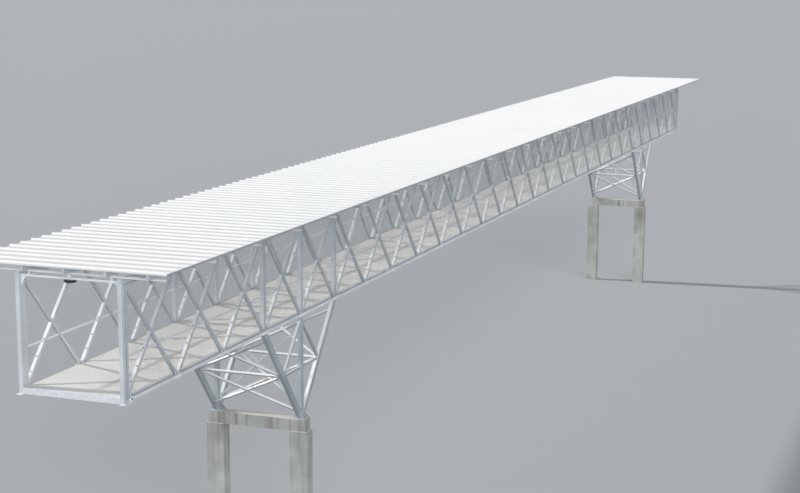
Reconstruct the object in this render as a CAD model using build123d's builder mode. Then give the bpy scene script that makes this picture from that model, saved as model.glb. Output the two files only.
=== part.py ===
from build123d import *
import os
from math import atan, atan2, degrees, hypot, tan

# Steel pedestrian bridge: a covered, X-braced truss walkway on two braced steel fans,
# each standing on a concrete portal.
# Lengths are millimetres of a 1:2 scale model, so the real bridge is twice this size.
# X runs along the bridge from its near end to its far end, Y goes across it to the left,
# Z is up, and the origin lies on the ground below the middle of the bridge.

# Trusses
panel_count = 27
panel_length = 1200.0
truss_depth = 1315.0  # chord centre to chord centre
truss_spacing = 1260.0  # truss centre to truss centre
truss_width = 50.0  # chords and posts, across the bridge
bottom_chord_height = 45.0
top_chord_height = 75.0
diagonal_size = 40.0
inner_post_depth = 80.0
end_post_depth = 125.0
rail_size = 20.0
rail_height = 480.0  # above the centre of the bottom chord

# Portals at both ends
portal_bar_size = 25.0
portal_drop = 30.0  # top of the portal bar below the top of the chord
stub_size = 20.0
haunch_reach = 60.0
haunch_drop = 110.0
haunch_waist = 0.4  # middle of its free edge, as a share of reach and drop
haunch_thickness = 6.0
lamp_diameter = 140.0
lamp_height = 30.0
lamp_bevel = 10.0

# Deck
slab_rise = 27.0  # top of the slab above the top of the bottom chord
slab_thickness = 30.0
slab_count = 3
floor_beam_width = 60.0
floor_beam_depth = 60.0
stringer_lines = 2
stringer_pitch = 400.0
stringer_width = 25.0
stringer_depth = 30.0
sill_thickness = 10.0

# Bracing in the floor and below the roof
lateral_width = 30.0
lateral_depth = 20.0

# Roof
roof_side_overhang = 650.0  # beyond the centre of the truss
roof_end_overhang = 195.0  # beyond the last panel point
sheet_count = 9
ribs_per_sheet = 16
rib_crest = 32.0
rib_run = 14.0
rib_depth = 20.0
sheet_thickness = 4.0
eave_trim_thickness = 3.0  # closes the ribs along the right eave
outrigger_width = 25.0
outrigger_height = 25.0
outrigger_setback = 120.0  # from the edge of the roof
purlin_count = 5
purlin_pitch = 510.0
purlin_width = 30.0
purlin_height = 75.0
purlin_setback = 40.0  # from the end of the roof

# Supports
support_panels = 4  # panels from each end of the bridge to its support
fan_height = 1450.0  # top of the concrete to the centre of the bottom chord
leg_width = 50.0  # across the bridge
leg_depth = 85.0
brace_size = 32.0
brace_setback = 170.0  # bracing work points, from both ends of a leg
base_plate_length = 160.0
base_plate_width = 200.0
base_plate_thickness = 12.0
stiffener_count = 4
stiffener_pitch = 42.0
stiffener_height = 90.0
stiffener_thickness = 8.0
stiffener_margin = 8.0  # inside the edge of the base plate

# Concrete portals
pier_height = 2200.0
column_width = 270.0
column_depth = 195.0
pier_beam_height = 170.0
pier_beam_depth = 170.0
pier_head_width = 210.0
pier_chamfer = 8.0

# Bearings under the end posts
bearing_length = 180.0
bearing_width = 80.0  # from the inner face of the post outwards
bearing_thickness = 12.0

# Derived lengths and levels
bridge_length = panel_count * panel_length
half_length = bridge_length / 2
truss_y = truss_spacing / 2
chord_level = pier_height + fan_height
top_chord_level = chord_level + truss_depth
chord_underside = chord_level - bottom_chord_height / 2
truss_floor = chord_level + bottom_chord_height / 2
truss_ceiling = top_chord_level - top_chord_height / 2
truss_top = top_chord_level + top_chord_height / 2
overall_length = bridge_length + end_post_depth
bottom_chord_length = bridge_length - end_post_depth
inner_width = truss_spacing - truss_width
slab_top = truss_floor + slab_rise
slab_base = slab_top - slab_thickness
floor_beam_base = slab_base - floor_beam_depth
portal_bar_base = truss_top - portal_drop - portal_bar_size
purlin_base = truss_top + outrigger_height
sheet_base = purlin_base + purlin_height
roof_length = bridge_length + 2 * roof_end_overhang
roof_width = truss_spacing + 2 * roof_side_overhang
sheet_length = roof_length / sheet_count
rib_pitch = sheet_length / ribs_per_sheet
leg_length = hypot(panel_length, fan_height)
support_x = half_length - support_panels * panel_length
fan_panels = [support_panels - 1, support_panels, support_panels + 1]

sides = {"left": 1, "right": -1}
ends = {"near": -1, "far": 1}
panel_points = [panel * panel_length - half_length for panel in range(panel_count + 1)]
panel_centres = [point + panel_length / 2 for point in panel_points[:-1]]

os.makedirs("parts", exist_ok=True)


def save(piece, name):
    """Label a finished piece and write it to its own file."""
    piece.part.label = name
    export_step(piece.part, f"parts/{name}.step")


def elevation(y, level):
    """Plane along the bridge at y, with its own origin at the given height."""
    return Plane((0, y, level), x_dir=(1, 0, 0), z_dir=(0, -1, 0))


def crossing(x, level):
    """Plane across the bridge at x, with its own origin at the given height."""
    return Plane((x, 0, level), x_dir=(0, 1, 0), z_dir=(1, 0, 0))


def bar(start, end, width):
    """Draw a straight bar in the open sketch, given the ends of its centre line."""
    run = end[0] - start[0]
    rise = end[1] - start[1]
    with Locations(((start[0] + end[0]) / 2, (start[1] + end[1]) / 2)):
        Rectangle(hypot(run, rise), width, rotation=degrees(atan2(rise, run)))


def x_bars(centres, run, rise, width, mode=Mode.ADD):
    """Draw crossed bars, corner to corner of a run by rise panel, about each centre."""
    slope = degrees(atan2(rise, run))
    with Locations(*centres):
        Rectangle(hypot(run, rise), width, rotation=slope, mode=mode)
        Rectangle(hypot(run, rise), width, rotation=-slope, mode=mode)


def chord(side, level, height, length):
    """Straight box-section chord of one truss."""
    with BuildPart() as chord_bar:
        with BuildSketch(crossing(-length / 2, level)):
            with Locations((side * truss_y, 0)):
                Rectangle(truss_width, height)
        extrude(amount=length)
    return chord_bar


def truss_web(side):
    """Crossed diagonals of one truss, with posts over the supports, welded into one lattice."""
    clear_height = truss_ceiling - truss_floor
    clear_middle = (truss_ceiling + truss_floor) / 2 - chord_level
    posts = [(panel_points[i], clear_middle) for i in fan_panels]
    posts += [(-x, z) for x, z in posts]
    with BuildPart() as web:
        with BuildSketch(elevation(side * truss_y, chord_level)):
            centres = [(x, truss_depth / 2) for x in panel_centres]
            x_bars(centres, panel_length, truss_depth, diagonal_size)
            with Locations((0, clear_middle)):
                Rectangle(bottom_chord_length, clear_height, mode=Mode.INTERSECT)
        extrude(amount=diagonal_size / 2, both=True)
        with BuildSketch(elevation(side * truss_y, chord_level)):
            with Locations(*posts):
                Rectangle(inner_post_depth, clear_height)
        extrude(amount=truss_width / 2, both=True)
    return web


def truss_rail(side):
    """Rail of one truss, cut into lengths between its diagonals and posts."""
    middle = truss_depth / 2
    centres = [(x, middle) for x in panel_centres]
    posts = [(panel_points[i], middle) for i in fan_panels]
    posts += [(-x, z) for x, z in posts]
    with BuildPart() as rail:
        with BuildSketch(elevation(side * truss_y, chord_level)):
            with Locations((0, rail_height)):
                Rectangle(bottom_chord_length, rail_size)
            x_bars(centres, panel_length, truss_depth, diagonal_size, Mode.SUBTRACT)
            with Locations(*posts):
                Rectangle(inner_post_depth, truss_depth, mode=Mode.SUBTRACT)
        extrude(amount=rail_size / 2, both=True)
    return rail


def end_post(end, side):
    """Upright at the end of one truss: the bottom chord butts on it, the top chord lies on it."""
    height = truss_ceiling - chord_underside
    with BuildPart() as post:
        with BuildSketch(elevation(side * truss_y, chord_underside)):
            with Locations((end * half_length, height / 2)):
                Rectangle(end_post_depth, height)
        extrude(amount=truss_width / 2, both=True)
    return post


def portal(end):
    """Bar across the top of an end, with stubs up to the roof and a plate in each upper corner."""
    along = end * half_length
    with BuildPart() as frame:
        with BuildSketch(crossing(along, portal_bar_base)):
            with Locations((0, portal_bar_size / 2)):
                Rectangle(inner_width, portal_bar_size)
        extrude(amount=portal_bar_size / 2, both=True)
        with BuildSketch(crossing(along, portal_bar_base + portal_bar_size)):
            with Locations((0, portal_drop / 2)):
                with GridLocations(purlin_pitch, 1, 3, 1):
                    Rectangle(stub_size, portal_drop)
        extrude(amount=stub_size / 2, both=True)
        with BuildSketch(crossing(along, portal_bar_base)):
            for side in sides.values():
                corner = (side * inner_width / 2, 0)
                inner = (side * (inner_width / 2 - haunch_reach), 0)
                lower = (side * inner_width / 2, -haunch_drop)
                waist = (
                    side * (inner_width / 2 - haunch_waist * haunch_reach),
                    -haunch_waist * haunch_drop,
                )
                with BuildLine():
                    Polyline(lower, corner, inner)
                    ThreePointArc(inner, waist, lower)
                make_face()
        extrude(amount=haunch_thickness / 2, both=True)
    return frame


def roof_sheet(number):
    """Ribbed sheet whose ribs run across the bridge; a plate closes them at the right eave."""
    start = -roof_length / 2 + number * sheet_length
    pan = rib_pitch - rib_crest - 2 * rib_run
    mitre = sheet_thickness * tan(atan(rib_depth / rib_run) / 2)
    upper = [(start, sheet_thickness)]
    lower = [(start, 0)]
    for rib in range(ribs_per_sheet):
        foot = start + rib * rib_pitch + pan / 2
        crest_start = foot + rib_run
        crest_end = crest_start + rib_crest
        far_foot = crest_end + rib_run
        for x, z, shift in (
            (foot, 0, mitre),
            (crest_start, rib_depth, mitre),
            (crest_end, rib_depth, -mitre),
            (far_foot, 0, -mitre),
        ):
            upper.append((x, z + sheet_thickness))
            lower.append((x + shift, z))
    upper.append((start + sheet_length, sheet_thickness))
    lower.append((start + sheet_length, 0))
    with BuildPart() as sheet:
        with BuildSketch(elevation(0, sheet_base)):
            with BuildLine():
                Polyline(*upper, *reversed(lower), close=True)
            make_face()
        extrude(amount=roof_width / 2, both=True)
        with BuildSketch(Plane.XY.offset(sheet_base)):
            with Locations((start + sheet_length / 2, (eave_trim_thickness - roof_width) / 2)):
                Rectangle(sheet_length, eave_trim_thickness)
        extrude(amount=rib_depth + sheet_thickness)
    return sheet


def deck_slab(number):
    """One of the concrete pours of the deck, which fill the width between the trusses."""
    pour_length = (overall_length - 2 * sill_thickness) / slab_count
    middle = (number - (slab_count - 1) / 2) * pour_length
    with BuildPart() as slab:
        with BuildSketch(Plane.XY.offset(slab_base)):
            with Locations((middle, 0)):
                Rectangle(pour_length, inner_width)
        extrude(amount=slab_thickness)
    return slab


def support_fan(end, side):
    """Three legs that spread from one base plate to the bottom chord, braced at mid height."""
    x = end * support_x
    leg_top = fan_height - bottom_chord_height / 2
    leg_span = leg_top - base_plate_thickness
    half_panel = panel_length / 2
    middle = fan_height / 2
    gusset_half = base_plate_width / 2 - stiffener_margin
    with BuildPart() as fan:
        with BuildSketch(elevation(side * truss_y, pier_height)):
            for spread in (-panel_length, 0, panel_length):
                bar((x, 0), (x + spread, fan_height), leg_depth)
            with Locations((x, base_plate_thickness + leg_span / 2)):
                Rectangle(3 * panel_length, leg_span, mode=Mode.INTERSECT)
        extrude(amount=leg_width / 2, both=True)
        with BuildSketch(elevation(side * truss_y, pier_height)):
            bar((x - half_panel, middle), (x + half_panel, middle), brace_size)
            for spread in (-half_panel, half_panel):
                bar((x, leg_top - brace_size), (x + spread, middle), brace_size)
        extrude(amount=brace_size / 2, both=True)
        with BuildSketch(Plane.XY.offset(pier_height)):
            with Locations((x, side * truss_y)):
                Rectangle(base_plate_length, base_plate_width)
        extrude(amount=base_plate_thickness)
        for number in range(stiffener_count):
            offset = (number - (stiffener_count - 1) / 2) * stiffener_pitch
            with BuildSketch(crossing(x + offset, pier_height + base_plate_thickness)):
                with BuildLine(Location((side * truss_y, 0))):
                    Polyline(
                        (-gusset_half, 0),
                        (-leg_width / 2, stiffener_height),
                        (leg_width / 2, stiffener_height),
                        (gusset_half, 0),
                        close=True,
                    )
                make_face()
            extrude(amount=stiffener_thickness / 2, both=True)
    return fan


def upright_bracing(end):
    """Full-height X between the two upright legs of a support."""
    rise = fan_height - 2 * brace_setback
    with BuildPart() as bracing:
        with BuildSketch(crossing(end * support_x, pier_height + fan_height / 2)):
            x_bars([(0, 0)], truss_spacing, rise, brace_size)
            Rectangle(truss_spacing - leg_width, fan_height, mode=Mode.INTERSECT)
        extrude(amount=brace_size / 2, both=True)
    return bracing


def raking_bracing(end):
    """Two stacked X with a strut between them, across each pair of raking legs."""
    middle = leg_length / 2
    rise = middle - brace_setback
    tiers = [(0, middle - rise / 2), (0, middle + rise / 2)]
    with BuildPart() as bracing:
        for lean in (-1, 1):
            leg_plane = Plane(
                (end * support_x, 0, pier_height),
                x_dir=(0, 1, 0),
                z_dir=(fan_height, 0, -lean * panel_length),
            )
            with BuildSketch(leg_plane):
                x_bars(tiers, truss_spacing, rise, brace_size)
                bar((-truss_y, middle), (truss_y, middle), brace_size)
                with Locations((0, middle)):
                    Rectangle(truss_spacing - leg_width, leg_length, mode=Mode.INTERSECT)
            extrude(amount=brace_size / 2, both=True)
    return bracing


def pier(end):
    """Concrete portal: two columns, and a slimmer beam with a head over each column."""
    soffit = pier_height - pier_beam_height
    with BuildPart() as concrete:
        with BuildSketch():
            with Locations((end * support_x, 0)):
                with GridLocations(1, truss_spacing, 1, 2):
                    Rectangle(column_depth, column_width)
        extrude(amount=soffit)
        chamfer(concrete.edges().filter_by(Axis.Z), pier_chamfer)
        with BuildSketch(Plane.XY.offset(soffit)):
            with Locations((end * support_x, 0)):
                Rectangle(pier_beam_depth, truss_spacing + pier_head_width)
        extrude(amount=pier_beam_height)
    return concrete


for side_name, side in sides.items():
    lower = chord(side, chord_level, bottom_chord_height, bottom_chord_length)
    upper = chord(side, top_chord_level, top_chord_height, overall_length)
    save(lower, f"bottom_chord_{side_name}")
    save(upper, f"top_chord_{side_name}")
    save(truss_web(side), f"truss_web_{side_name}")
    save(truss_rail(side), f"truss_rail_{side_name}")

for end_name, end in ends.items():
    save(portal(end), f"portal_{end_name}")
    save(upright_bracing(end), f"upright_bracing_{end_name}")
    save(raking_bracing(end), f"raking_bracing_{end_name}")
    save(pier(end), f"concrete_pier_{end_name}")
    for side_name, side in sides.items():
        save(end_post(end, side), f"end_post_{end_name}_{side_name}")
        save(support_fan(end, side), f"support_fan_{end_name}_{side_name}")

for number in range(slab_count):
    save(deck_slab(number), f"deck_slab_{number + 1}")

for number in range(sheet_count):
    save(roof_sheet(number), f"roof_sheet_{number + 1}")

# Floor beams: a box section at every panel point, under the slab and between the chords
with BuildPart() as floor_beams:
    with BuildSketch(Plane.XY.offset(floor_beam_base)):
        with Locations(*[(x, 0) for x in panel_points]):
            Rectangle(floor_beam_width, inner_width)
    extrude(amount=floor_beam_depth)
save(floor_beams, "floor_beams")

# Stringers: short bars between neighbouring floor beams, flush with their tops
with BuildPart() as stringers:
    with BuildSketch(Plane.XY.offset(slab_base - stringer_depth)):
        with GridLocations(panel_length, stringer_pitch, panel_count, stringer_lines):
            Rectangle(panel_length - floor_beam_width, stringer_width)
    extrude(amount=stringer_depth)
save(stringers, "stringers")

# Floor bracing: an X in each panel, whose bars end on the floor beams just inside the chords
with BuildPart() as floor_bracing:
    with BuildSketch(Plane.XY.offset(floor_beam_base)):
        spread = inner_width - 2 * lateral_width
        x_bars([(x, 0) for x in panel_centres], panel_length, spread, lateral_width)
        Rectangle(bridge_length, inner_width, mode=Mode.INTERSECT)
        with Locations(*[(x, 0) for x in panel_points]):
            Rectangle(floor_beam_width, inner_width, mode=Mode.SUBTRACT)
    extrude(amount=lateral_depth)
save(floor_bracing, "floor_bracing")

# Roof bracing: an X in each panel, between the top chords
with BuildPart() as roof_bracing:
    with BuildSketch(Plane.XY.offset(top_chord_level - lateral_depth / 2)):
        x_bars([(x, 0) for x in panel_centres], panel_length, inner_width, lateral_width)
        Rectangle(bridge_length - portal_bar_size, inner_width, mode=Mode.INTERSECT)
    extrude(amount=lateral_depth)
save(roof_bracing, "roof_bracing")

# Outriggers: bars on the top chords that reach out below both eaves
with BuildPart() as outriggers:
    with BuildSketch(Plane.XY.offset(truss_top)):
        with Locations(*[(x, 0) for x in panel_points]):
            Rectangle(outrigger_width, roof_width - 2 * outrigger_setback)
    extrude(amount=outrigger_height)
save(outriggers, "roof_outriggers")

# Purlins: long bars on the outriggers that carry the sheets
with BuildPart() as purlins:
    with BuildSketch(Plane.XY.offset(purlin_base)):
        with GridLocations(1, purlin_pitch, 1, purlin_count):
            Rectangle(roof_length - 2 * purlin_setback, purlin_width)
    extrude(amount=purlin_height)
save(purlins, "roof_purlins")

# End sills: a steel plate across each end of the deck, between the end posts
with BuildPart() as sills:
    with BuildSketch(Plane.XY.offset(chord_underside)):
        with GridLocations(overall_length - sill_thickness, 1, 2, 1):
            Rectangle(sill_thickness, inner_width)
    extrude(amount=slab_top - chord_underside)
save(sills, "end_sills")

# Bearings: a plate under each end post and the chord behind it
with BuildPart() as bearings:
    with BuildSketch(Plane.XY.offset(chord_underside - bearing_thickness)):
        with GridLocations(bridge_length, inner_width + bearing_width, 2, 2):
            Rectangle(bearing_length, bearing_width)
    extrude(amount=bearing_thickness)
save(bearings, "end_bearings")

# Entrance lamps: a shallow round housing under the middle of each portal bar
with BuildPart() as lamps:
    with BuildSketch(Plane.XY.offset(portal_bar_base - lamp_height)):
        with GridLocations(bridge_length, 1, 2, 1):
            Circle(lamp_diameter / 2)
    extrude(amount=lamp_height)
    chamfer(lamps.edges().group_by(Axis.Z)[0], lamp_bevel)
save(lamps, "entrance_lamps")
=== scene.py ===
# %% [markdown]
# # A covered steel footbridge
#
# The bridge is a long box: two trusses of crossed steel tubes stand along the edges of a
# concrete deck, and a white ribbed roof lies across them. Two pairs of steel fans carry it,
# each pair on a concrete portal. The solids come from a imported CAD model, at half the real
# size, and they stay where they are. This lesson gives every surface its finish, and adds what
# is too fine for the solids: the wire mesh, the bolts, the roof screws and the small plates.

import math

import bmesh
import bpy
from mathutils import Matrix, Vector


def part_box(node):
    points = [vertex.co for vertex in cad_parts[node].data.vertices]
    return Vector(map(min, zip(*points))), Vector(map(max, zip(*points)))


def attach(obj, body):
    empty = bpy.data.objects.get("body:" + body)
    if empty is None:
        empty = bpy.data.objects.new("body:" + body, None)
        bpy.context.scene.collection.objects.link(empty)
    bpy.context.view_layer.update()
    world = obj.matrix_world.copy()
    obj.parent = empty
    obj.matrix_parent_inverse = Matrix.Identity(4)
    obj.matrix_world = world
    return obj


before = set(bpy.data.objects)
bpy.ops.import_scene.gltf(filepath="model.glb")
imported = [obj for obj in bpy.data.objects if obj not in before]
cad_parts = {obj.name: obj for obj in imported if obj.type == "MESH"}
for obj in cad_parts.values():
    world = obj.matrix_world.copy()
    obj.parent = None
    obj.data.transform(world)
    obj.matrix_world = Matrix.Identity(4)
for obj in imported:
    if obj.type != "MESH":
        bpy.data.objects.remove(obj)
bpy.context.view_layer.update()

# %% [markdown]
# ## Measure before making
# The solids already say where most things are, so little has to be placed one by one. The first
# step is to read the main lines of the bridge from them: its ends, the planes of its trusses
# and the levels of its chords. If these lines move, the details follow. What the box of a solid
# can't tell, such as the number of panels or the thickness of a sheet, is a named value.

# %% Main lines of the bridge
panel_count = 27
sides = {"left": 1, "right": -1}
ends = {"near": -1, "far": 1}

post_low, post_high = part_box("end_post_far_left")
lower_low, lower_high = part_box("bottom_chord_left")
upper_low, upper_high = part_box("top_chord_left")
rail_low, rail_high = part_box("truss_rail_left")

half_length = (post_low.x + post_high.x) / 2
panel_length = 2 * half_length / panel_count
truss_y = (post_low.y + post_high.y) / 2
post_half_width = (post_high.y - post_low.y) / 2
lower_centre = (lower_low.z + lower_high.z) / 2
upper_centre = (upper_low.z + upper_high.z) / 2
rail_level = (rail_low.z + rail_high.z) / 2
truss_depth = upper_centre - lower_centre
panel_points = [point * panel_length - half_length for point in range(panel_count + 1)]
print("panel", round(panel_length, 3), "truss depth", round(truss_depth, 3))

# %% [markdown]
# ## The camera
# The photograph was taken with a long lens from high up, beyond the near end and to its right.
# The camera's place was found by matching points that are known on the bridge, such as the feet
# of the end posts, with the pixels where they show. The lens axis doesn't meet the middle of the
# picture, which means that the picture was cropped, and a small shift does the same here.

# %% Camera at the photograph's viewing angle
image_width, image_height = 800, 493
camera_place = Vector((-31.369, -9.238, 8.308))
camera_heading = 0.345  # radians from the bridge's own direction
camera_tilt = 0.194  # radians below the horizon
camera_roll = 0.006
focal_pixels = 1640.0
axis_row = 286.7  # the image row that the lens axis meets

camera_data = bpy.data.cameras.new("camera")
camera_data.lens = focal_pixels / image_width * camera_data.sensor_width
camera_data.shift_y = (axis_row - image_height / 2) / image_width
camera_data.clip_start = 0.5
camera_data.clip_end = 4000.0
camera = bpy.data.objects.new("camera", camera_data)
bpy.context.scene.collection.objects.link(camera)
turned = Matrix.Rotation(camera_heading - math.pi / 2, 4, "Z")
tilted = Matrix.Rotation(math.pi / 2 - camera_tilt, 4, "X")
rolled = Matrix.Rotation(camera_roll, 4, "Z")
camera.matrix_world = Matrix.Translation(camera_place) @ turned @ tilted @ rolled
bpy.context.scene.camera = camera


def pixel_of(point):
    """Column and row of the photograph where the camera sees a point."""
    seen = camera.matrix_world.inverted() @ Vector(point)
    column = image_width / 2 - focal_pixels * seen.x / seen.z
    row = axis_row + focal_pixels * seen.y / seen.z
    return round(column, 1), round(row, 1)


print("foot of the near right post:", pixel_of((-half_length, -truss_y, lower_low.z)))
print("last lower node:", pixel_of((half_length, -truss_y, lower_centre)))

# %% [markdown]
# ## Light
# Reading the shadows on the deck gives the place of the light: it is low and comes from the
# left, so it slips in below the roof, crosses the deck and whitens the upper faces of the
# tubes. One soft sun lamp does that. A second, much softer one stands behind the camera, a
# little to its right, because the faces that are turned that way are nearly as bright. The
# Standard view transform shows a colour as it is written, where the default one would grey the
# white of the roof.

# %% Two lamps
bpy.context.scene.view_settings.view_transform = "Standard"


def add_sun(name, elevation, bearing, strength, softness, tint):
    """A sun lamp. Bearing 0 stands straight off the left side, and 90 off the near end."""
    data = bpy.data.lights.new(name, "SUN")
    data.energy = strength
    data.angle = math.radians(softness)
    data.color = tint
    lamp = bpy.data.objects.new(name, data)
    bpy.context.scene.collection.objects.link(lamp)
    across = math.cos(math.radians(elevation))
    towards = Vector(
        (
            -math.sin(math.radians(bearing)) * across,
            math.cos(math.radians(bearing)) * across,
            math.sin(math.radians(elevation)),
        )
    )
    lamp.rotation_mode = "QUATERNION"
    lamp.rotation_quaternion = towards.to_track_quat("Z", "Y")
    print(name, "lights from", [round(share, 2) for share in towards])


add_sun("low_sun", 27, 6, 2.58, 2.5, (1.0, 0.97, 0.93))
add_sun("soft_fill", 15, 121, 1.82, 45, (0.96, 0.977, 0.99))

# %% [markdown]
# ## Colours as in a paint program
# Blender reckons in amounts of light, and the eye doesn't: what a paint program calls half, 128
# of 255, reflects only about a fifth of the light. The colours below are given the way a paint
# program shows them, and this helper turns each one into light by the sRGB curve.

# %% From paint values to light
def colour(red, green, blue):
    """A colour given as in a paint program, 0 to 255, turned into the light that it reflects."""
    linear = []
    for value in (red, green, blue):
        share = value / 255
        linear.append(share / 12.92 if share <= 0.04045 else ((share + 0.055) / 1.055) ** 2.4)
    return (*linear, 1.0)


print("middle grey as light:", [round(value, 3) for value in colour(128, 128, 128)[:3]])

# %% [markdown]
# ## A small helper for nodes
# A finish is a graph of nodes. Written out with the plain API, each node takes four or five
# lines. The helper below makes a node, sets its options, and fills or links its inputs in one
# call, so that a graph reads from its coordinates to its shader.

# %% One node in one call
def node(tree, kind, inputs=None, **options):
    """Add a node. An input is a plain value, or the output socket of another node."""
    made = tree.nodes.new("ShaderNode" + kind)
    for name, value in options.items():
        setattr(made, name, value)
    for name, value in (inputs or {}).items():
        if isinstance(value, bpy.types.NodeSocket):
            tree.links.new(value, made.inputs[name])
        else:
            made.inputs[name].default_value = value
    return made


# %% [markdown]
# Most nodes are used in a few fixed ways. Two of them give a colour: a ramp turns a number into
# one, and a mix puts one over another as far as its factor says.

# %% Colours in a graph
def ramp(tree, factor, *stops):
    """Turn a value into a colour, through stops of (position, colour)."""
    made = node(tree, "ValToRGB", {"Fac": factor})
    elements = made.color_ramp.elements
    while len(elements) < len(stops):
        elements.new(0.5)
    for element, (position, shade) in zip(elements, stops):
        element.position = position
        element.color = shade
    return made.outputs["Color"]


def blended(tree, factor, first, second):
    """Mix two colours. Sockets 6 and 7 of a Mix node take them, and output 2 gives the result."""
    made = node(tree, "Mix", data_type="RGBA")
    for index, value in ((0, factor), (6, first), (7, second)):
        if isinstance(value, bpy.types.NodeSocket):
            tree.links.new(value, made.inputs[index])
        else:
            made.inputs[index].default_value = value
    return made.outputs[2]


# %% [markdown]
# The others give a number: a step of arithmetic, a noise, and a stretch that turns one range of
# numbers into another. The last one tells how far the surface faces up, which is 1 on top of a
# bar, 0 on its sides and -1 underneath.

# %% Numbers in a graph
def calculated(tree, operation, *values):
    """Do one step of arithmetic."""
    made = node(tree, "Math", dict(enumerate(values)), operation=operation)
    return made.outputs[0]


def noise(tree, place, scale, detail=4.0, stretch=(1, 1, 1)):
    """Noise whose grains are about 1 / scale metres, made longer where stretch is below 1."""
    mapped = node(tree, "Mapping", {"Vector": place, "Scale": stretch})
    made = node(
        tree,
        "TexNoise",
        {"Vector": mapped.outputs["Vector"], "Scale": scale, "Detail": detail},
    )
    return made.outputs["Fac"]


def spread(tree, value, low, high, to_low, to_high):
    """Stretch the part of a value between low and high over a new range."""
    made = node(
        tree,
        "MapRange",
        {"Value": value, "From Min": low, "From Max": high, "To Min": to_low, "To Max": to_high},
    )
    return made.outputs["Result"]


def how_far_up(tree):
    """The share of the surface's normal that points up."""
    normal = node(tree, "TexCoord").outputs["Normal"]
    return node(tree, "SeparateXYZ", {"Vector": normal}).outputs["Z"]


# %% [markdown]
# A finish starts as a new material with its shader, and with the place on the object to drive
# the noises. It ends with a little relief, so that the light doesn't slide over it.

# %% A new finish, and relief for it
def new_finish(name, metallic=0.0):
    """A material, its node tree, its shader and the place on the object, in metres."""
    material = bpy.data.materials.new(name)
    material.use_nodes = True
    tree = material.node_tree
    shader = tree.nodes["Principled BSDF"]
    shader.inputs["Metallic"].default_value = metallic
    place = node(tree, "TexCoord").outputs["Object"]
    print("finish:", name)
    return material, tree, shader, place


def roughened(tree, shader, height, distance):
    """Give a surface the relief of a height value, distance metres deep."""
    bump = node(tree, "Bump", {"Height": height, "Distance": distance, "Strength": 1.0})
    tree.links.new(bump.outputs["Normal"], shader.inputs["Normal"])


# %% [markdown]
# ## The room around the bridge
# The world is such a graph as well. A ray from the camera, or one that a shiny or clear surface
# sends on, finds the plain backdrop. Every other ray finds a soft light, brightest near the
# horizon. The floor is a very large plane, so that the camera never sees its edge.

# %% Plain world and floor
backdrop_tone = colour(190, 193, 196)

world = bpy.data.worlds.new("studio")
bpy.context.scene.world = world
world.use_nodes = True
sky_tree = world.node_tree
direction = node(sky_tree, "TexCoord").outputs["Generated"]
upward = node(sky_tree, "SeparateXYZ", {"Vector": direction}).outputs["Z"]
sky = ramp(
    sky_tree,
    upward,
    (0.0, colour(206, 208, 210)),
    (0.4, colour(170, 174, 179)),
    (1.0, colour(108, 116, 126)),
)
rays = node(sky_tree, "LightPath")
clear_or_seen = calculated(
    sky_tree, "MAXIMUM", rays.outputs["Is Camera Ray"], rays.outputs["Is Transmission Ray"]
)
shown = calculated(sky_tree, "MAXIMUM", clear_or_seen, rays.outputs["Is Glossy Ray"])
sky_tree.links.new(
    blended(sky_tree, shown, sky, backdrop_tone),
    sky_tree.nodes["Background"].inputs["Color"],
)

floor_reach = 1500.0
floor_mesh = bpy.data.meshes.new("floor")
floor_mesh.from_pydata(
    [(x * floor_reach, y * floor_reach, 0) for x, y in ((-1, -1), (1, -1), (1, 1), (-1, 1))],
    [],
    [(0, 1, 2, 3)],
)
floor = bpy.data.objects.new("floor", floor_mesh)
bpy.context.scene.collection.objects.link(floor)
floor_finish, _, floor_shader, _ = new_finish("plain_floor")
floor_shader.inputs["Base Color"].default_value = colour(184, 187, 190)
floor_shader.inputs["Roughness"].default_value = 0.9
floor_mesh.materials.append(floor_finish)

# %% [markdown]
# ## Galvanised steel
# Steel that was dipped in molten zinc is a pale blue grey. Fresh zinc shows crystals, called
# spangle, which are a centimetre or two across on the real bridge. With the years it turns
# dull in patches, and rain leaves chalky streaks down its sides. Here small Voronoi cells make
# the spangle, a large soft noise the patches, and a noise drawn out along Z the streaks.
#
# Light and shade are also painted into the zinc by which way it faces. What looks up is whitened
# as a painted highlight, so the rising diagonals come out almost white, and what looks down is
# darkened as painted shade, so the falling ones are grey. The surface's own normal tells the two
# apart. The thin bars, which are the rails, the steel portals at both ends and the outriggers of
# the roof, get the palest copy of the zinc as a painted highlight. The fans below the deck get
# the darkest copy as painted shade. So each gets its own tones.

# %% Galvanised steel
spangle_scale = 105.0  # crystals in a metre
zinc_relief = 0.0003  # metres


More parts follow.
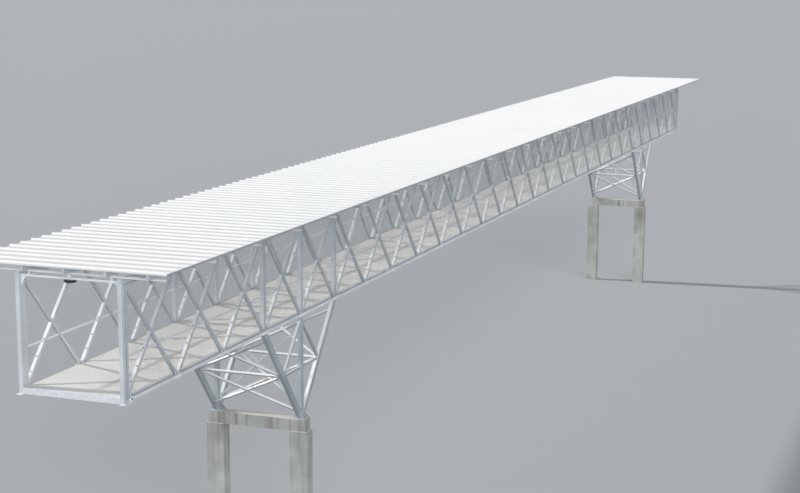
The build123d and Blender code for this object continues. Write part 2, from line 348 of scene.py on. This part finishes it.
def galvanised(name, light, dark, chalk, top_highlight=0.85, shine=0.55):
    """Hot-dip zinc between two tones, chalky in streaks, with painted highlight where it faces up
    and painted shade below.
    """
    material, tree, shader, place = new_finish(name)
    crystals = node(tree, "TexVoronoi", {"Vector": place, "Scale": spangle_scale})
    crystal_tone = node(tree, "SeparateColor", {"Color": crystals.outputs["Color"]}).outputs[0]
    patches = noise(tree, place, 2.2, detail=6.0)
    streaks = noise(tree, place, 26.0, stretch=(1, 1, 0.06))
    grain = noise(tree, place, 420.0, detail=2.0)

    patched = ramp(tree, patches, (0.34, dark), (0.66, light))
    spangled = blended(
        tree,
        spread(tree, crystal_tone, 0.0, 1.0, 0.0, 0.16),
        patched,
        colour(232, 238, 244),
    )
    chalky = blended(tree, spread(tree, streaks, 0.55, 0.72, 0.0, 0.42), spangled, chalk)

    facing_up = how_far_up(tree)
    # Painted light: what faces up is whitened as a highlight, and what faces down is darkened as
    # shade.
    highlighted_top = blended(
        tree, spread(tree, facing_up, 0.15, 0.6, 0.0, top_highlight), chalky, colour(250, 251, 251)
    )
    shaded_underside = blended(
        tree, spread(tree, facing_up, -0.15, -0.6, 0.0, 0.45), highlighted_top, colour(132, 136, 138)
    )
    tree.links.new(shaded_underside, shader.inputs["Base Color"])
    tree.links.new(spread(tree, facing_up, 0.15, 0.6, shine, 0.2), shader.inputs["Metallic"])
    dullness = calculated(tree, "ADD", patches, calculated(tree, "MULTIPLY", crystal_tone, 0.15))
    tree.links.new(spread(tree, dullness, 0.3, 0.85, 0.46, 0.66), shader.inputs["Roughness"])
    height = calculated(tree, "ADD", grain, calculated(tree, "MULTIPLY", patches, 2.0))
    roughened(tree, shader, height, zinc_relief)
    return material


tube_steel = galvanised(
    "galvanised_steel", colour(230, 234, 237), colour(206, 211, 215), colour(241, 242, 243)
)
# A paler copy of the zinc: a painted highlight on the rails, the portals and the roof outriggers.
pale_lit_steel = galvanised(
    "pale_lit_steel", colour(248, 249, 250), colour(232, 236, 239), colour(251, 252, 252), shine=0.1
)
# A darker copy of the zinc: painted shade on the fans below the deck.
shaded_support_steel = galvanised(
    "shaded_support_steel", colour(192, 199, 202), colour(166, 174, 178), colour(214, 218, 219)
)

# %% [markdown]
# The lower chords have a finish of their own. At every node the diagonals were welded on after
# galvanising, and the burnt zinc was dabbed over with a bright zinc paint. That shows in the
# photograph as pale flecks around each foot. A fleck is where a noise is high, and the height
# that it must reach grows with the distance to the nearest panel point. A painted highlight runs
# along the outer edge of the chord's top, in a line as narrow as a finger. The chords shine less
# than most of the tubes, because their sides are chalky from end to end, and their tops are
# greyed with painted shade between the repairs.

# %% Lower chord steel, with repaired welds
chord_steel = galvanised(
    "chord_steel",
    colour(242, 244, 246),
    colour(216, 221, 226),
    colour(248, 249, 250),
    top_highlight=0.1,
    shine=0.15,
)
repair_reach = 0.32  # metres each way from a panel point
edge_highlight_width = 0.010
full_highlight_width = 0.004  # the part of the painted highlight line that is fully bright


def add_chord_repairs_shade_and_highlight(material):
    """Paint shade on the top, paint over the zinc around each panel point, and paint a highlight
    along the outer edge.
    """
    tree = material.node_tree
    shader = tree.nodes["Principled BSDF"]
    place = node(tree, "TexCoord").outputs["Object"]
    position = node(tree, "SeparateXYZ", {"Vector": place})
    shifted = calculated(tree, "ADD", position.outputs["X"], half_length)
    to_node = calculated(tree, "PINGPONG", shifted, panel_length / 2)
    needed = spread(tree, to_node, 0.0, repair_reach, 0.42, 0.72)
    dabs = noise(tree, place, 26.0, detail=4.0, stretch=(0.6, 1, 1))
    repaired = spread(tree, calculated(tree, "SUBTRACT", dabs, needed), 0.0, 0.05, 0.0, 0.95)
    plain_zinc = shader.inputs["Base Color"].links[0].from_socket
    # Painted shade: the chord's top face is greyed.
    shaded_top = blended(
        tree, spread(tree, how_far_up(tree), 0.3, 0.8, 0.0, 0.6), plain_zinc, colour(192, 197, 202)
    )
    painted = blended(tree, repaired, shaded_top, colour(252, 252, 252))

    # Painted highlight: a narrow bright line along the outer top edge of the chord.
    from_middle = calculated(tree, "ABSOLUTE", position.outputs["Y"])
    near_edge = []
    for distance, edge in ((from_middle, lower_high.y), (position.outputs["Z"], lower_high.z)):
        start, full = edge - edge_highlight_width, edge - full_highlight_width
        near_edge.append(spread(tree, distance, start, full, 0, 1))
    edge_highlight = calculated(tree, "MULTIPLY", *near_edge)
    tree.links.new(
        blended(tree, edge_highlight, painted, colour(252, 253, 253)), shader.inputs["Base Color"]
    )


add_chord_repairs_shade_and_highlight(chord_steel)

# %% [markdown]
# ## White roof sheet
# The roof is stove-painted steel sheet, with ribs that run across the bridge. Its white is
# nearly plain, and a plain white surface looks like paper, so it gets the little that a real
# one has: dust in the pans between the ribs, faint runs towards the eaves, and a thin dark line
# where two sheets lap. The trim that closes the ribs along the right eave is grey. It is part of
# the same solid, so the material finds it by its place across the bridge.

# %% White roof sheet
sheet_low, sheet_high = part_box("roof_sheet_1")
sheet_length = sheet_high.x - sheet_low.x
rib_height = sheet_high.z - sheet_low.z
lap_width = 0.006
dusty_height = 0.4 * rib_height
trim_thickness = 0.003
trim_margin = 0.0002
sheet_relief = 0.0002

roof_white, tree, shader, place = new_finish("painted_roof")
position = node(tree, "SeparateXYZ", {"Vector": place})
runs = noise(tree, place, 9.0, detail=5.0, stretch=(3.0, 0.25, 1))
clouds = noise(tree, place, 0.7, detail=3.0)
low_in_pan = spread(
    tree, position.outputs["Z"], sheet_low.z, sheet_low.z + dusty_height, 1.0, 0.0
)
dust = calculated(tree, "MULTIPLY", spread(tree, runs, 0.42, 0.75, 0.0, 0.5), low_in_pan)
dusty = blended(tree, dust, colour(243, 243, 242), colour(214, 213, 209))
clouded = blended(
    tree, spread(tree, clouds, 0.35, 0.7, 0.0, 0.35), dusty, colour(233, 234, 235)
)
from_end = calculated(tree, "SUBTRACT", position.outputs["X"], sheet_low.x)
to_lap = calculated(tree, "PINGPONG", from_end, sheet_length / 2)
lapped = spread(tree, to_lap, lap_width / 2, lap_width, 0.55, 0.0)
sheeting = blended(tree, lapped, clouded, colour(150, 152, 154))
trim_edge = sheet_low.y + trim_thickness + trim_margin
in_trim = calculated(tree, "LESS_THAN", position.outputs["Y"], trim_edge)
trimmed = blended(tree, in_trim, sheeting, colour(168, 172, 176))
tree.links.new(trimmed, shader.inputs["Base Color"])
tree.links.new(spread(tree, runs, 0.3, 0.8, 0.42, 0.6), shader.inputs["Roughness"])
shader.inputs["Specular IOR Level"].default_value = 0.06
roughened(tree, shader, noise(tree, place, 60.0, detail=3.0), sheet_relief)

# %% [markdown]
# ## Deck concrete
# The deck was cast in place and drawn with a broom across the walking direction, so that it
# isn't slippery. The finish has four scales: blotches about a metre wide, where the concrete
# dried at different times, smaller stains, a fine speckle of sand, and the broom lines, which
# are only relief. A shallow joint crosses the deck over each floor beam.

# %% Deck concrete
joint_width = 0.005
broom_relief = 0.0008

deck_concrete, tree, shader, place = new_finish("deck_concrete")
along = node(tree, "SeparateXYZ", {"Vector": place}).outputs["X"]
blotches = noise(tree, place, 1.3, detail=7.0)
stains = noise(tree, place, 4.5, detail=5.0)
sand = noise(tree, place, 380.0, detail=2.0)
broom = noise(tree, place, 160.0, detail=2.0, stretch=(1, 0.03, 1))
dried = ramp(
    tree,
    blotches,
    (0.3, colour(237, 235, 231)),
    (0.5, colour(245, 244, 240)),
    (0.72, colour(250, 249, 246)),
)
stained = blended(
    tree, spread(tree, stains, 0.56, 0.74, 0.0, 0.3), dried, colour(206, 203, 197)
)
sandy = blended(
    tree, spread(tree, sand, 0.4, 0.62, 0.0, 0.25), stained, colour(214, 212, 207)
)
to_joint = calculated(
    tree, "PINGPONG", calculated(tree, "ADD", along, half_length), panel_length / 2
)
in_joint = spread(tree, to_joint, joint_width / 2, joint_width, 1.0, 0.0)
jointed = blended(
    tree, calculated(tree, "MULTIPLY", in_joint, 0.6), sandy, colour(146, 143, 138)
)
tree.links.new(jointed, shader.inputs["Base Color"])
shader.inputs["Roughness"].default_value = 0.88
relief = calculated(tree, "ADD", broom, calculated(tree, "MULTIPLY", sand, 0.6))
roughened(tree, shader, calculated(tree, "SUBTRACT", relief, in_joint), broom_relief)

# %% [markdown]
# ## Pier concrete
# The piers were cast against boards. These left a faint line every 15 cm on the real bridge,
# water that runs off the steel leaves dark streaks below the head, and the faces carry broad
# stains. The streaks are a noise drawn out along Z. They fade with the distance below the top,
# and stay off what faces up. What faces up is made pale, partly washed clean by rain and partly
# a painted highlight.

# %% Pier concrete
pier_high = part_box("concrete_pier_near")[1]
board_height = 0.075
board_edge = 0.004
cast_relief = 0.002
streak_reach = 0.9

pier_concrete, tree, shader, place = new_finish("pier_concrete")
level = node(tree, "SeparateXYZ", {"Vector": place}).outputs["Z"]
stain = noise(tree, place, 2.6, detail=8.0)
pores = noise(tree, place, 150.0, detail=3.0)
drips = noise(tree, place, 17.0, detail=5.0, stretch=(1, 1, 0.05))
cast = ramp(
    tree,
    stain,
    (0.3, colour(148, 150, 146)),
    (0.52, colour(168, 170, 166)),
    (0.72, colour(188, 190, 187)),
)
near_top = spread(tree, level, pier_high.z - streak_reach, pier_high.z, 0.12, 0.8)
facing_up = how_far_up(tree)
on_a_side = calculated(tree, "MULTIPLY", near_top, spread(tree, facing_up, 0.3, 0.8, 1.0, 0.0))
streaked = calculated(tree, "MULTIPLY", spread(tree, drips, 0.5, 0.66, 0.0, 1.0), on_a_side)
weathered = blended(tree, streaked, cast, colour(128, 124, 117))
# Upward faces made pale: partly rain wash, partly a painted highlight.
lit_and_washed_top = blended(
    tree, spread(tree, facing_up, 0.3, 0.8, 0.0, 0.8), weathered, colour(226, 222, 214)
)
pored = blended(
    tree, spread(tree, pores, 0.58, 0.7, 0.0, 0.4), lit_and_washed_top, colour(136, 133, 127)
)
to_board_edge = calculated(tree, "PINGPONG", level, board_height / 2)
board_line = spread(tree, to_board_edge, 0.0, board_edge, 0.3, 0.0)
tree.links.new(
    blended(tree, board_line, pored, colour(134, 130, 122)), shader.inputs["Base Color"]
)
shader.inputs["Roughness"].default_value = 0.92
relief = calculated(tree, "SUBTRACT", calculated(tree, "MULTIPLY", pores, 0.5), board_line)
roughened(tree, shader, relief, cast_relief)

# %% [markdown]
# ## Small finishes
# The entrance lamps are dark paint. Bolts and screws are dull zinc, darker than the tubes,
# apart from the screws of the roof, which are painted like it. The mesh wire is zinc as well,
# drawn smooth, and the plate across each end of the deck is worn bright. The small plates got a
# bright paint like that on the welds.

# %% Lamp paint, bolt zinc, wire, sill and small plates
gloss_change = 0.08
metal_relief = 0.0002


def plain_metal(name, light, dark, metallic, roughness, scale):
    """A metal whose tone and gloss change a little from place to place."""
    material, tree, shader, place = new_finish(name, metallic)
    worn = noise(tree, place, scale, detail=4.0)
    tree.links.new(ramp(tree, worn, (0.35, dark), (0.65, light)), shader.inputs["Base Color"])
    rough = spread(tree, worn, 0.3, 0.7, roughness - gloss_change, roughness + gloss_change)
    tree.links.new(rough, shader.inputs["Roughness"])
    roughened(tree, shader, noise(tree, place, scale * 6), metal_relief)
    return material


lamp_paint = plain_metal(
    "lamp_paint", colour(52, 54, 58), colour(34, 35, 38), 0.2, 0.42, 60.0
)
bolt_zinc = plain_metal(
    "bolt_zinc", colour(178, 178, 174), colour(128, 129, 128), 0.6, 0.4, 200.0
)
mesh_wire = plain_metal(
    "mesh_wire", colour(178, 184, 190), colour(150, 156, 162), 0.5, 0.45, 6.0
)
sill_steel = plain_metal(
    "sill_steel", colour(238, 241, 244), colour(220, 224, 228), 0.2, 0.4, 24.0
)
plate_steel = plain_metal(
    "plate_steel", colour(244, 246, 247), colour(222, 226, 229), 0.1, 0.5, 40.0
)

# %% [markdown]
# ## Dress the solids
# A CAD edge is perfectly sharp, and no tube, casting or plate is. Sharp edges catch no light,
# which is what makes a plain CAD model look false. Four modifiers round them without touching
# the mesh itself: Weld joins the points that the file format had split, Decimate merges flat
# triangles back into whole faces, Bevel rounds what is left, and Weighted Normal lets the large
# faces decide how the light runs over the small ones, so that a flat bar looks flat.

# %% Finish and edge radius of every node
finishes = {  # by the start of a node's name; the last one takes what is left
    "roof_sheet": (roof_white, 0.0),
    "deck_slab": (deck_concrete, 0.004),
    "concrete_pier": (pier_concrete, 0.004),
    "bottom_chord": (chord_steel, 0.004),
    "portal": (pale_lit_steel, 0.003),
    "roof_outriggers": (pale_lit_steel, 0.003),
    "truss_rail": (pale_lit_steel, 0.003),
    "support_fan": (shaded_support_steel, 0.003),
    "entrance_lamps": (lamp_paint, 0.002),
    "end_sills": (sill_steel, 0.0015),
    "": (tube_steel, 0.003),
}
join_distance = 0.0001  # metres
flat_angle = math.radians(1)
sharp_angle = math.radians(25)


def round_edges(piece, radius):
    """Round every sharp edge of a piece, with modifiers alone."""
    weld = piece.modifiers.new("join_points", "WELD")
    weld.merge_threshold = join_distance
    flatten = piece.modifiers.new("merge_flat_faces", "DECIMATE")
    flatten.decimate_type = "DISSOLVE"
    flatten.angle_limit = flat_angle
    bevel = piece.modifiers.new("round_edges", "BEVEL")
    bevel.width = radius
    bevel.segments = 2
    bevel.limit_method = "ANGLE"
    bevel.angle_limit = sharp_angle
    even = piece.modifiers.new("even_shading", "WEIGHTED_NORMAL")
    even.weight = 100


for name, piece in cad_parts.items():
    finish, edge_radius = next(
        chosen for start, chosen in finishes.items() if name.startswith(start)
    )
    piece.data.materials.clear()
    piece.data.materials.append(finish)
    if edge_radius:
        round_edges(piece, edge_radius)
print("dressed", len(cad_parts), "nodes")

# %% [markdown]
# ## Two ways to add many small things
# The details come in two kinds. Straight rods, such as the wires of the mesh, are prisms drawn
# between two points. Small parts that repeat, such as bolts, are one pattern mesh stamped at
# many places. Both end up as one joined mesh, which is lighter than a thousand objects.

# %% How a piece is handed over
def add_piece(name, vertices, faces, material, slot):
    """Make one object of the bridge from its points and faces."""
    mesh = bpy.data.meshes.new(name)
    mesh.from_pydata(vertices, [], faces)
    mesh.materials.append(material)
    piece = bpy.data.objects.new(name, mesh)
    bpy.context.scene.collection.objects.link(piece)
    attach(piece, "root")
    triangles = sum(len(face.vertices) - 2 for face in mesh.polygons)
    print(name, "triangles:", triangles)


# %% Rods and stamps
def rods(runs, radius, corners):
    """Points and faces of closed prisms, one along each pair of end points."""
    vertices, faces = [], []
    for start, end in runs:
        turn = (end - start).to_track_quat("Z", "Y")
        first = len(vertices)
        for centre in (start, end):
            for corner in range(corners):
                angle = 2 * math.pi * corner / corners
                spoke = Vector((radius * math.cos(angle), radius * math.sin(angle), 0))
                vertices.append(centre + turn @ spoke)
        second = first + corners
        for corner in range(corners):
            following = (corner + 1) % corners
            faces.append((first + corner, first + following, second + following, second + corner))
        faces.append([first + corner for corner in reversed(range(corners))])
        faces.append([second + corner for corner in range(corners)])
    return vertices, faces


def stamped(pattern, places):
    """Points and faces of one copy of a bmesh pattern at each place, a 4 by 4 matrix."""
    points = [vertex.co.copy() for vertex in pattern.verts]
    pattern.verts.index_update()
    outlines = [[vertex.index for vertex in face.verts] for face in pattern.faces]
    pattern.free()
    vertices, faces = [], []
    for place in places:
        first = len(vertices)
        vertices.extend(place @ point for point in points)
        faces.extend([first + index for index in outline] for outline in outlines)
    return vertices, faces


# %% [markdown]
# The patterns are modelled with a bmesh each. Every one of them stands on its own origin, and
# the last helper below says where that origin goes and which way the pattern stands.

# %% A plate with eased edges
plate_ease = 0.001


def plate_pattern(length, width, thickness):
    """A flat plate that lies on its own origin."""
    pattern = bmesh.new()
    bmesh.ops.create_cube(pattern, size=1.0)
    bmesh.ops.scale(pattern, verts=pattern.verts, vec=(length, width, thickness))
    bmesh.ops.translate(pattern, verts=pattern.verts, vec=(0, 0, thickness / 2))
    bmesh.ops.bevel(pattern, geom=pattern.edges[:], offset=plate_ease, segments=1, affect="EDGES")
    return pattern


# %% A hexagon bolt
washer_share = 0.2  # of the bolt's height
washer_reach = 0.95  # radius, in widths across the flats
head_taper = 0.9


def bolt_pattern(across, height):
    """A hexagon head on a round washer, standing on its own origin."""
    pattern = bmesh.new()
    washer = height * washer_share
    washer_radius = across * washer_reach
    head_radius = across / math.sqrt(3)
    for sides_round, foot_radius, top_radius, foot, top in (
        (12, washer_radius, washer_radius, 0, washer),
        (6, head_radius, head_radius * head_taper, washer, height),
    ):
        bmesh.ops.create_cone(
            pattern,
            cap_ends=True,
            segments=sides_round,
            radius1=foot_radius,
            radius2=top_radius,
            depth=top - foot,
            matrix=Matrix.Translation((0, 0, foot + (top - foot) / 2)),
        )
    return pattern


# %% Where a pattern stands
along_bridge = Vector((1, 0, 0))


def standing(point, normal):
    """Matrix of a pattern set on a surface, with its own X along the bridge."""
    up = Vector(normal).normalized()
    across = up.cross(along_bridge).normalized()
    forward = across.cross(up)
    turn = Matrix((forward, across, up)).transposed().to_4x4()
    return Matrix.Translation(point) @ turn


# %% [markdown]
# ## Chain-link mesh
# Both sides of the walkway are closed with wire mesh on the outside of the tubes, so that
# nothing falls through. Its diamonds measure 90 mm from corner to corner on the real
# bridge, so 45 mm here. Woven wire bends at every crossing, which would take a million faces
# over this length, and nobody could see them. Two layers of straight wires, one behind the
# other, cross at the same points and cast the same veil.

# %% Chain-link mesh on both trusses
diamond = 0.045
wire_radius = 0.0010
wire_corners = 4
foot_gap = 0.004
head_overlap = 0.012
mesh_foot = lower_high.z + foot_gap
mesh_head = upper_low.z + head_overlap
mesh_start = -half_length
mesh_end = half_length


def slanted_wires(lean, y):
    """Every wire of one layer; lean is 1 for wires that rise along the bridge, or -1."""
    height = mesh_head - mesh_foot
    count = math.ceil((mesh_end - mesh_start + height) / diamond)
    runs = []
    for number in range(1, count):
        foot = number * diamond - (height if lean > 0 else 0)
        low = max(0.0, -foot if lean > 0 else foot - (mesh_end - mesh_start))
        high = min(height, mesh_end - mesh_start - foot if lean > 0 else foot)
        if high - low > wire_radius:
            start = Vector((mesh_start + foot + lean * low, y, mesh_foot + low))
            end = Vector((mesh_start + foot + lean * high, y, mesh_foot + high))
            runs.append((start, end))
    return runs


for side_name, side in sides.items():
    outside = truss_y + post_half_width + wire_radius
    runs = slanted_wires(1, side * outside)
    runs += slanted_wires(-1, side * (outside + 2 * wire_radius))
    wires = rods(runs, wire_radius, wire_corners)
    add_piece(f"chain_link_{side_name}", *wires, mesh_wire, "galvanised_steel")

# %% [markdown]
# The mesh is stretched in a frame of thin rods, along the chords and up the end posts. They
# finish its edge, which would otherwise be a row of loose wire ends.

# %% Edge rods of the mesh
edge_radius = 0.003
edge_corners = 8

for side_name, side in sides.items():
    y = side * (truss_y + post_half_width + edge_radius)
    corners = [
        Vector((x, y, z))
        for x, z in (
            (mesh_start, mesh_foot),
            (mesh_end, mesh_foot),
            (mesh_end, mesh_head),
            (mesh_start, mesh_head),
        )
    ]
    runs = [(corners[turn - 1], corners[turn]) for turn in range(len(corners))]
    edging = rods(runs, edge_radius, edge_corners)
    add_piece(f"mesh_edging_{side_name}", *edging, mesh_wire, "galvanised_steel")

# %% [markdown]
# ## Feet of the diagonals
# Where two diagonals meet on the chord, an upright plate is welded over the joint on each side,
# with two bolts through it. In the photograph these show as pale patches with a dark dot at the
# foot of every V.

# %% Node plates and their bolts
diagonal_half = 0.02
node_plate = (0.150, 0.052, 0.0045)  # length, height, thickness
node_bolt = (0.013, 0.008)  # across the flats, height

for side_name, side in sides.items():
    plates, heads = [], []
    for x in panel_points[1:-1]:
        for face in (-1, 1):
            outward = Vector((0, face, 0))
            middle = Vector((x, side * truss_y, lower_high.z + node_plate[1] / 2))
            middle += diagonal_half * outward
            plates.append(standing(middle, outward))
            for step in (-1, 1):
                head = middle + node_plate[2] * outward
                head += Vector((step * node_plate[0] / 3, 0, node_plate[1] / 8))
                heads.append(standing(head, outward))
    plated = stamped(plate_pattern(*node_plate), plates)
    add_piece(f"node_plates_{side_name}", *plated, plate_steel, "galvanised_steel")
    bolted = stamped(bolt_pattern(*node_bolt), heads)
    add_piece(f"node_bolts_{side_name}", *bolted, bolt_zinc, "galvanised_steel")

# %% [markdown]
# The diagonals that rise away from the near end carry three screws below their crossing, on the
# upper face. Their places follow from the slope of the bar, so a short formula finds them: walk
# a share of the bar's length, then step out by half of its thickness.

# %% Screws on the rising diagonals
rise_angle = math.atan2(truss_depth, panel_length)
upper_face = Vector((-math.sin(rise_angle), 0, math.cos(rise_angle)))
bar = Vector((panel_length, 0, truss_depth))
screw_shares = (0.13, 0.24, 0.37)
screw_size = (0.011, 0.006)

for side_name, side in sides.items():
    places = []
    for x in panel_points[:-1]:
        foot = Vector((x, side * truss_y, lower_centre))
        for share in screw_shares:
            places.append(standing(foot + share * bar + diagonal_half * upper_face, upper_face))
    screws = stamped(bolt_pattern(*screw_size), places)
    add_piece(f"diagonal_screws_{side_name}", *screws, bolt_zinc, "galvanised_steel")

# %% [markdown]
# ## Tabs on the rail
# The rail is cut between the diagonals, and short bright tabs tie its ends to the rising bars.

# %% Rail tabs
tab = (0.055, 0.03, 0.005)
rail_share = (rail_level - lower_centre) / truss_depth
bar_half_width = diagonal_half / math.sin(rise_angle)

for side_name, side in sides.items():
    places = []
    for x in panel_points[:-1]:
        beside = x + rail_share * panel_length + bar_half_width + tab[0] / 2
        places.append(standing((beside, side * truss_y, rail_high.z), (0, 0, 1)))
    tabs = stamped(plate_pattern(*tab), places)
    add_piece(f"rail_tabs_{side_name}", *tabs, sill_steel, "galvanised_steel")

# %% [markdown]
# ## Roof screws
# The roof is screwed to every purlin in each pan between two ribs. That makes over seven hundred
# screws, in straight rows that are seen only from close by. A stamped pattern keeps them cheap.

# %% Roof screws along the purlins
ribs_per_sheet = 16
sheet_count = sum(name.startswith("roof_sheet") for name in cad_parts)
rib_pitch = sheet_length / ribs_per_sheet
purlin_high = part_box("roof_purlins")[1]
purlin_count = 5
purlin_half_width = 0.015
roof_screw = (0.009, 0.006)
sheet_thickness = 0.004

outer_purlin = purlin_high.y - purlin_half_width
purlin_lines = [
    outer_purlin * (2 * number / (purlin_count - 1) - 1) for number in range(purlin_count)
]
pans = [sheet_low.x + number * rib_pitch for number in range(1, ribs_per_sheet * sheet_count)]
pan_top = sheet_low.z + sheet_thickness
places = [standing((x, y, pan_top), (0, 0, 1)) for x in pans for y in purlin_lines]
roof_screws = stamped(bolt_pattern(*roof_screw), places)
add_piece("roof_screws", *roof_screws, roof_white, "painted_roof")

# %% [markdown]
# ## Chord clips
# Beside each end post a small plate stands on the outer side of the chord, with two bolts one
# above the other. The photograph shows one, and the other three follow from symmetry.

# %% Clips and their bolts
clip = (0.06, 0.10, 0.006)
clip_gap = 0.006  # between the post and the clip
clip_bolt = (0.016, 0.010)
post_depth = post_high.x - post_low.x
clip_x = half_length - post_depth / 2 - clip_gap - clip[0] / 2
clip_places, clip_bolts = [], []
for end in ends.values():
    for side in sides.values():
        outward = Vector((0, side, 0))
        middle = Vector((end * clip_x, side * lower_high.y, lower_low.z + clip[1] / 2))
        clip_places.append(standing(middle, outward))
        for step in (-1, 1):
            head = middle + clip[2] * outward + Vector((0, 0, step * clip[1] / 4))
            clip_bolts.append(standing(head, outward))
clips = stamped(plate_pattern(*clip), clip_places)
add_piece("chord_clips", *clips, plate_steel, "galvanised_steel")
bolted = stamped(bolt_pattern(*clip_bolt), clip_bolts)
add_piece("clip_bolts", *bolted, bolt_zinc, "galvanised_steel")

# %% [markdown]
# ## Anchor bolts
# Each fan stands on a plate that is held down by four anchors, between the stiffeners. A nut on
# its stub of thread is all that shows of one.

# %% Anchor nuts on the base plates
far_pier_low, far_pier_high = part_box("concrete_pier_far")
support_x = (far_pier_low.x + far_pier_high.x) / 2
base_plate_thickness = 0.012
nut_step = (0.042, 0.082)
nut_size = (0.020, 0.016)
stud_radius = 0.0055
stud_height = 0.03
stud_corners = 10

nut_places, studs = [], []
for end in ends.values():
    for side in sides.values():
        for step in (-1, 1):
            for across in (-1, 1):
                x = end * support_x + step * nut_step[0]
                y = side * truss_y + across * nut_step[1]
                top = Vector((x, y, pier_high.z + base_plate_thickness))
                nut_places.append(standing(top, (0, 0, 1)))
                studs.append((top, top + Vector((0, 0, stud_height))))
nuts = stamped(bolt_pattern(*nut_size), nut_places)
add_piece("anchor_nuts", *nuts, bolt_zinc, "galvanised_steel")
threads = rods(studs, stud_radius, stud_corners)
add_piece("anchor_studs", *threads, bolt_zinc, "galvanised_steel")
